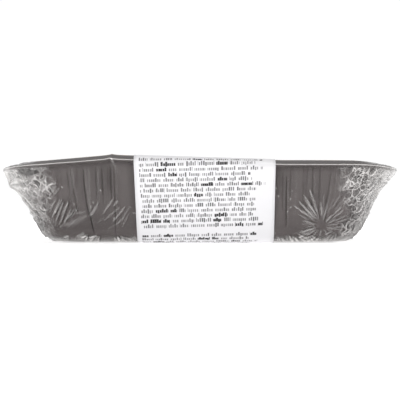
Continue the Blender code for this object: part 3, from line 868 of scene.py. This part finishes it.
def film_walls(material):
    """The film from the lip down and round the foot: straight down from the lip with a sag
    of one parabola, then the foot's arc. The crumple, the gathers and the folds move it along
    its normals and mark it with haze, painted highlights and painted shade."""
    lip_top = (0.0, FLANGE_RADIUS, 1.0, -FLANGE_DROP - LIP_ROUND)
    lip_bottom = (0.0, FLANGE_RADIUS, 1.0, lip_top[3] - LIP_DEPTH)
    foot = [foot_row(FOOT_RADIUS, d) for d in np.linspace(FILM_LEAVES_FOOT, 0, 26)]
    bridge = []
    for share in np.linspace(0, 1, 100)[1:-1]:
        inset, radius, lift, height = between(lip_bottom, foot[0], [share])[0]
        bridge.append((inset + BRIDGE_SAG * 4 * share * (1 - share), radius, lift, height))
    lip = [FILM_EDGE, *between(FILM_EDGE, lip_top, (0.35, 0.7)),
           *between(lip_top, lip_bottom, (0, 0.15, 0.3, 0.5, 0.75, 1))]
    rows = [*lip, *bridge, *foot]
    points = lofted(FILM_COLUMNS, rows)
    x, y, z = np.moveaxis(points, -1, 0)
    normal = facing(points)
    depth = np.arange(len(rows))[:, None]
    crest = crest_height(*plan(FILM_COLUMNS, CREST_INSET, CREST_RADIUS))
    below = crest - FLANGE_DROP - z
    free = ease(1.6, 5.0, below) * (1 - ease(len(rows) - 9, len(rows) - 2, depth))
    from_end = round_the_end(FILM_COLUMNS, 8.0, 26.0) + 0 * z
    right = np.where(x < 0, 0.0, 1.0)
    ends = ease(66.0, 76.0, np.abs(x) + cloud(points, 7.0, 51) * 5.0 + 2.0 * right)
    ends = np.maximum(ends, 1 - ease(46.0, 52.0, from_end))
    reach, pleat = gathered(points, z, from_end)
    near = np.exp(-((reach / 12.0) ** 1.6))
    spread = ease(65.0, 80.0, np.abs(x) + cloud(points, 6.0, 58) * 3.0 + 2.5 * right)
    spread = np.maximum(spread, 1 - ease(40.0, 54.0, from_end))
    relief, haze_and_sheen, dark = crumpled(points, from_end)
    tip = ease(78.0, 92.0, np.abs(x))
    relief, haze_and_sheen, dark = relief * spread * ends, haze_and_sheen * spread + 0.18 * tip, dark * ends
    ear = bell(reach, 0.0, 2.6) * (1 - 0.6 * right)
    relief = relief * (1 - 0.6 * near) + near * (0.9 * pleat - 0.45) + 1.6 * ear
    drawn_in = bell(z, 25.0, 8.0) * bell(from_end, OUTLINE_SIDE, 14.0)
    fold_haze_and_sheen, fold_shade, fold_relief = drawn_folds(x, y, z)
    calm = 1 - 0.85 * ends
    relief = relief + fold_relief * calm - drawn_in * (0.3 + 1.6 * right)
    relief = np.maximum(relief, -np.clip((z - 8.0) * 0.15, 0.4, 2.6))
    points = points + normal * (relief * free)[..., None]
    points[..., 2] = np.maximum(points[..., 2], 0.02)
    # Haze with painted sheen: thin where taut; painted highlights on the gathers' pleats and along
    # the lip, and a painted reflection of the floor round the foot
    foot_band = 1 - ease(0.2, 6.4, z)
    haze_and_sheen = haze_and_sheen + fold_haze_and_sheen * calm
    streaks = pleat**4 * bell(reach, 15.0, 8.0) * (1 - 0.6 * right) * spread
    haze_and_sheen = haze_and_sheen + 0.16 * streaks + near * (0.05 + 0.28 * pleat**3)
    # A painted reflection of the floor round the foot, a little brighter to the right
    haze_and_sheen = haze_and_sheen + foot_band**3 * (0.28 + 0.0013 * x)
    # A painted highlight along the lip, and less haze just under it, where the flange's painted
    # shadow is
    lip_highlight = bell(below, 0.55, 0.14)
    under_lip = ease(0.8, 1.1, below) * (1 - ease(2.2, 5.0, below)) * (1 - ends)
    haze_and_sheen = haze_and_sheen * (1 - 0.9 * under_lip) + lip_highlight * 0.85
    # A painted glint that runs down from the kink
    under_kink = np.maximum(below - 0.5, 0.0)
    glint = bell(x, KINK_X + 0.45 * under_kink, 0.35 + 0.14 * under_kink)
    glint = glint * np.exp(-under_kink / 2.5) * ease(0.2, 0.5, below) * ease(30.0, 50.0, -y)
    haze_and_sheen = haze_and_sheen + (0.25 + 0.5 * bell(under_kink, 0.0, 0.5)) * glint
    # Painted shade of the folds, halved at the foot
    dark = dark + fold_shade * calm * (1 - 0.5 * foot_band)
    # A taut spot at the left lip, cleared of haze and given painted shade, and the flange's painted
    # shadow just under the lip
    window = bell(from_end, WINDOW[0], 6.5) * bell(z, WINDOW[1], 2.3)
    window = ease(0.5, 0.75, window + cloud(points * (0.4, 0.4, 2.0), 3.0, 59) * 0.3) * (1 - right)
    haze_and_sheen = haze_and_sheen * (1 - 0.8 * window)
    dark = dark + window * 0.62 + 0.3 * ease(0.8, 1.1, below) * (1 - ease(1.6, 4.6, below))
    # Painted shade low on the long walls, more towards the left
    low_wall = ease(4.0, 8.0, z) * (1 - ease(10.0, 20.0, z)) * (1 - ends)
    dark = dark + low_wall * (0.06 - 0.0009 * x)
    crumple = ends * (1 - 0.75 * near) * ease(1.4, 2.4, below) * (1 - 0.6 * foot_band)
    crumple = crumple * (1 - 0.8 * window) * (1 - 0.4 * bell(from_end, OUTLINE_SIDE, 8.0))
    marks = {"haze_and_sheen": np.clip(haze_and_sheen, 0.0, 0.95), "dark": np.clip(dark, 0.0, 0.9),
             "crumple": np.clip(crumple, 0.0, 1.0), "gloss": ends}
    return cut_walls(points, marks, material)


def cut_walls(points, marks, material):
    """Cuts the walls into pieces that meet on shared columns, both ends and the front and
    back between them, and adds the flat base inside their last row."""
    first, middle, last = np.searchsorted(LONG_SHARES, (FRONT_START, FRONT_END, 1.0))
    back = last + 2 * CORNER_COLUMNS + END_COLUMNS
    count = FILM_COLUMNS.shape[1]
    runs = {
        "film_front": np.arange(first, middle + 1),
        "film_right_end": np.arange(middle, back + first + 1),
        "film_back": np.arange(back + first, back + middle + 1),
        "film_left_end": np.arange(back + middle, count + first + 1) % count,
    }
    pieces = []
    for name, run in runs.items():
        own = {mark: values[:, run] for mark, values in marks.items()}
        pieces.append(skin(name, points[:, run], material, closed=False, marks=own))
    base = [(BASE_INSET + step, max(1.5, BASE_RADIUS - step), 0.0, BASE_Z)
            for step in np.geomspace(1.5, 41.0, 7)]
    under = np.concatenate([points[-1:], lofted(FILM_COLUMNS, base)])
    own = {mark: np.zeros(under.shape[:2]) for mark in marks}
    own["haze_and_sheen"] += 0.1
    own["haze_and_sheen"][0] = marks["haze_and_sheen"][-1]
    pieces.append(skin("film_base", under, material, poles=(None, (0, 0, BASE_Z)), marks=own))
    return pieces


def film_lid(material):
    """The film over the mouth and the flange. Wrinkles run in from both ends: sines of the
    height across, that fade towards the middle. Their ridges get painted highlights, the
    flange's outer edge a painted highlight line and its crinkled tips painted sheen, and the
    flange painted shade."""
    edge_x, edge_y = plan(FILM_COLUMNS, CREST_INSET, CREST_RADIUS)
    shares = np.concatenate([np.linspace(0.03, 0.95, 44), np.linspace(0.96, 0.995, 5)])[:, None]
    x, y = edge_x * shares, edge_y * shares
    mouth = np.stack([x, y, mouth_height(x, y)], -1)
    crest = (CREST_INSET, CREST_RADIUS, 1.0, 0.0)
    flange = lofted(FILM_COLUMNS, between(crest, FILM_EDGE, np.linspace(0, 1, 13)))
    flange[0, :, 2] -= 0.12
    points = np.concatenate([mouth, flange])
    x, y, _ = np.moveaxis(points, -1, 0)
    rows = len(points)
    depth = np.arange(rows)[:, None]
    ends = ease(50.0, 88.0, np.abs(x))
    swing = y / np.maximum(20.0, 96.0 - np.abs(x)) * 9 + cloud(points * (0.35, 1.0, 1.0), 7.0, 72)
    wave = np.abs(np.sin(swing * 3))
    ridge = bell(wave, 1.0, 0.16) * ease(-0.2, 0.5, cloud(points, 13.0, 75))
    broad = cloud(points * (0.4, 1.0, 1.0), 16.0, 73) * 0.35 * ease(24.0, 60.0, np.abs(x))
    held = 1 - ease(rows - 17, rows - 12, depth)
    on_flange = ease(rows - 12, rows - 7, depth) * (1 - ease(rows - 3, rows - 1, depth))
    tips = ease(76.0, 90.0, np.abs(x))
    gap, _, edge_draw, tilt = facets(points, 4.0, 74)
    crinkle = bell(gap, 0.0, 0.6) * ease(0.3, 0.6, edge_draw)
    relief = (ridge * ends * 0.7 + broad) * held + on_flange * tips * (0.2 * crinkle + 0.12 * tilt)
    points = points + facing(points) * relief[..., None]
    # Haze, with painted highlights on the wrinkles' ridges and on the crinkles of the flange tips
    haze_and_sheen = 0.03 + ridge * ends * 0.3 * held + tips * on_flange * (0.08 + 0.4 * crinkle)
    # A painted highlight line along the flange's outer edge
    haze_and_sheen = haze_and_sheen + bell(depth, rows - 1, 0.6) * 0.22
    # The flange gets painted shade
    marks = {"haze_and_sheen": np.clip(haze_and_sheen, 0, 0.95), "dark": 0.4 * on_flange + 0 * haze_and_sheen,
             "crumple": 0.6 * tips * on_flange, "gloss": held * 2.4 + 0 * haze_and_sheen}
    pole = (0, 0, points[0, :, 2].mean())
    return skin("film_lid", points, material, poles=(pole, None), marks=marks)


# The label

LABEL_LEFT = -30.9
LABEL_RIGHT = 35.2
LABEL_LEAN = 0.025  # sideways for each unit down the front, at the left edge
LABEL_BACK = 50.0
LABEL_UNDER_END = 22.0


def make_label(material):
    """The paper band: the film's section at each x, from the back of the top over the front
    lip and under the base, moved off the film and smoothed, because paper bends less
    sharply, but still in front of the film at the lip. The paper's map is millimetres from
    its left edge, and along it from the lip."""
    start = np.linspace(0, 1, 36)
    x = (LABEL_LEFT + (LABEL_RIGHT - LABEL_LEFT) * start)[None, :]
    y = np.linspace(LABEL_BACK, -CREST_HALF_WIDTH, 70)[:, None] + 0 * x
    top = np.stack([x + 0 * y, y, mouth_height(x, y)], -1)
    crest = crest_height(x, -CREST_HALF_WIDTH + 0 * x)
    path = [(-HALF_WIDTH + FILM_EDGE[0], 1.0, -FLANGE_DROP),
            (-HALF_WIDTH, 1.0, -FLANGE_DROP - LIP_ROUND),
            (-HALF_WIDTH, 1.0, -FLANGE_DROP - LIP_ROUND - LIP_DEPTH)]
    foot = [(-HALF_WIDTH + row[0], 0.0, row[3])
            for row in (foot_row(FOOT_RADIUS, d) for d in np.linspace(FILM_LEAVES_FOOT, 0, 16))]
    flange = between((-CREST_HALF_WIDTH, 1.0, 0.0), path[0], np.linspace(0, 1, 8)[1:])
    bridge = between(path[2], foot[0], np.linspace(0, 1, 36)[1:-1])
    under = between(foot[-1], (LABEL_UNDER_END, 0.0, BASE_Z), np.linspace(0, 1, 30)[1:])
    rest = np.array([*flange, *path[1:], *bridge, *foot, *under])
    lower = np.stack([x + 0 * rest[:, :1], rest[:, :1] + 0 * x,
                      rest[:, 1:2] * crest + rest[:, 2:3]], -1)
    points = np.concatenate([top, lower])
    lip = len(top) + len(flange) + 1
    points = points + facing(points, closed=False) * LABEL_LIFT
    at_lip = slice(lip - 3, lip + 4)
    proud = points[at_lip, :, 1].copy()
    for _ in range(6):
        points[1:-1] = points[1:-1] * 0.5 + (points[:-2] + points[2:]) * 0.25
    points[at_lip, :, 1] = np.minimum(points[at_lip, :, 1], proud)
    steps = np.linalg.norm(np.diff(points, axis=0), axis=-1)
    run = np.concatenate([np.zeros((1, x.size)), np.cumsum(steps, axis=0)])
    along = run - run[lip]
    points[..., 0] += LABEL_LEAN * (1 - start) * np.maximum(along, 0.0)
    across = (x - LABEL_LEFT) + 0 * along
    label = skin("paper_label", points, material, closed=False,
                 uv=np.stack([across, along], -1))
    paper = label.modifiers.new("paper", "SOLIDIFY")
    paper.thickness = LABEL_PAPER * MM
    paper.offset = 1.0
    return label


# The studio

FLOOR_Z = -0.1


def make_stage():
    """A pale round floor that glows, as painted light: an emission that rises away from the
    pack, so that the floor runs out into the white behind it."""
    reach = np.array([0.01, 60, 120, 180, 250, 350, 500, 700, 1000])[::-1, None]
    angle = np.linspace(0, 2 * np.pi, 96, endpoint=False)
    points = np.stack([reach * np.cos(angle), reach * np.sin(angle), FLOOR_Z + 0 * reach * angle], -1)
    material, add = new_material("white paper sweep")
    far = add("VectorMath", [add("TexCoord").outputs["Object"]], operation="LENGTH")
    # Painted light: the floor glows less near the pack and fully away from it
    glow = add("MapRange", (far, 0.10, 0.45, 0.66, 1.0), interpolation_type="SMOOTHSTEP")
    paper = add("BsdfPrincipled", {
        "Base Color": linear("#f8f8f8"), "Roughness": 0.9, "Specular IOR Level": 0.1,
        "Emission Color": (1, 1, 1, 1), "Emission Strength": glow})
    add("OutputMaterial", [paper])
    skin("sweep", points, material)


def make_light(name, spot, target, size, watts):
    """A square soft light at a spot, turned to a target. Both are in millimetres."""
    lamp = bpy.data.lights.new(name, "AREA")
    lamp.shape = "SQUARE"
    lamp.size = size * MM
    lamp.energy = watts
    obj = bpy.data.objects.new(name, lamp)
    bpy.context.scene.collection.objects.link(obj)
    heading = np.array(target, dtype=float) - np.array(spot, dtype=float)
    tilt = math.atan2(math.hypot(heading[0], heading[1]), -heading[2])
    obj.rotation_euler = (tilt, 0, math.atan2(-heading[0], heading[1]))
    obj.location = np.array(spot) * MM


CAMERA_DISTANCE = 900.0
CAMERA_HEIGHT = 20.7
CAMERA_LENS = 160.5
CAMERA_SENSOR = 36.0


def make_camera():
    """A level camera low in front of the pack."""
    data = bpy.data.cameras.new("camera")
    data.lens = CAMERA_LENS
    data.sensor_width = CAMERA_SENSOR
    data.clip_start = 0.05
    camera = bpy.data.objects.new("camera", data)
    bpy.context.scene.collection.objects.link(camera)
    camera.location = (0.0, -CAMERA_DISTANCE * MM, CAMERA_HEIGHT * MM)
    camera.rotation_euler = (math.radians(90), 0, 0)
    bpy.context.scene.camera = camera


def light_studio():
    """A white surround near the horizon, softer above it, with a large soft light overhead
    and one on each side of the camera."""
    scene = bpy.context.scene
    scene.world = bpy.data.worlds.new("studio")
    add = cleared(scene.world)
    rise = add("SeparateXYZ", [add("TexCoord").outputs["Generated"]]).outputs[2]
    glow = add("MapRange", (rise, 0.16, 0.34, 1.02, 0.32), interpolation_type="SMOOTHSTEP")
    add("OutputWorld", [add("Background", ((1, 1, 1, 1), glow))])
    make_light("top", (0, -150, 1100), (0, 0, 0), 900, 9.5)
    make_light("left_front", (-900, -1000, 500), (0, 0, 20), 500, 2.5)
    make_light("right_front", (900, -1000, 500), (0, 0, 20), 500, 2.5)
    scene.view_settings.view_transform = "Standard"


def main():
    """Makes each piece, ties it to the root body, hides the solid that it stands for, and sets up the
    studio.
    """
    film = shrink_film()
    pieces = [
        (make_tray(lacquered_foil()), "tray", "dark_foil"),
        (make_food(baked_pasta()), "pasta_bake", "baked_pasta"),
        (film_lid(film), "film", "clear_film"),
        (make_label(printed_paper()), "label", "label_paper"),
    ]
    pieces += [(wall, "film", "clear_film") for wall in film_walls(film)]
    for piece, node, slot in pieces:
        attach(piece, "root")
        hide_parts(node)
    make_stage()
    make_camera()
    light_studio()


main()
